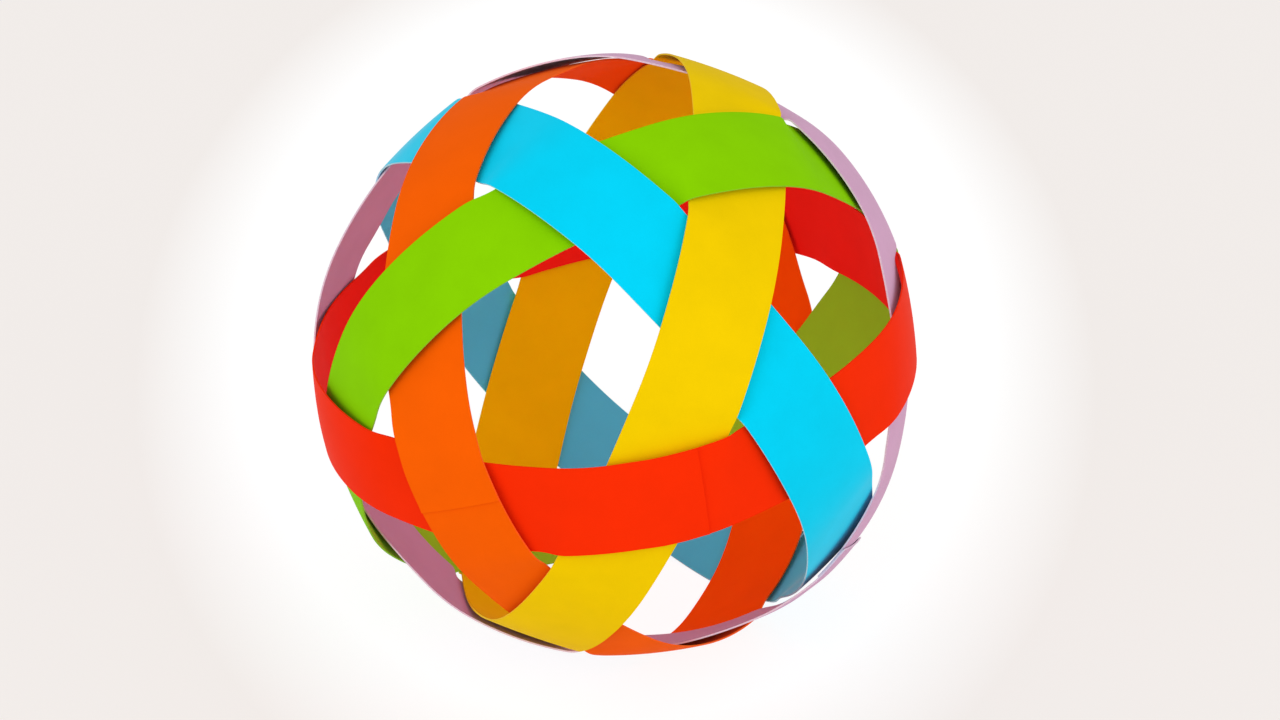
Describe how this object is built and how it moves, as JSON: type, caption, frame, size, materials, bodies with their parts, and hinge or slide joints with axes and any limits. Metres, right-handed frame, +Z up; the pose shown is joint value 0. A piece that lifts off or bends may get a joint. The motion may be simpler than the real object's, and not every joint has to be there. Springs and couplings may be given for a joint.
{
  "type": "woven paper strip ball",
  "caption": "Openwork ball of coloured card strips, each closed into a ring and woven over and under the others, with five-sided windows between them.",
  "frame": {"origin": "under the middle of the ball, on the surface that it stands on", "axes": "+Z up through the middle of the top window; -Y towards the viewer, with the front as the picture shows it turned 13 degrees to the right"},
  "size_m": [0.0952, 0.0954, 0.0927],
  "materials": {
    "red_card": "matte coloured card",
    "lilac_card": "matte coloured card",
    "orange_card": "matte coloured card",
    "blue_card": "matte coloured card",
    "green_card": "matte coloured card",
    "yellow_card": "matte coloured card"
  },
  "bodies": {
    "root": {"red_ring": "red_card", "lilac_ring": "lilac_card", "orange_ring": "orange_card", "blue_ring": "blue_card", "green_ring": "green_card", "yellow_ring": "yellow_card"}
  },
  "joints": []
}
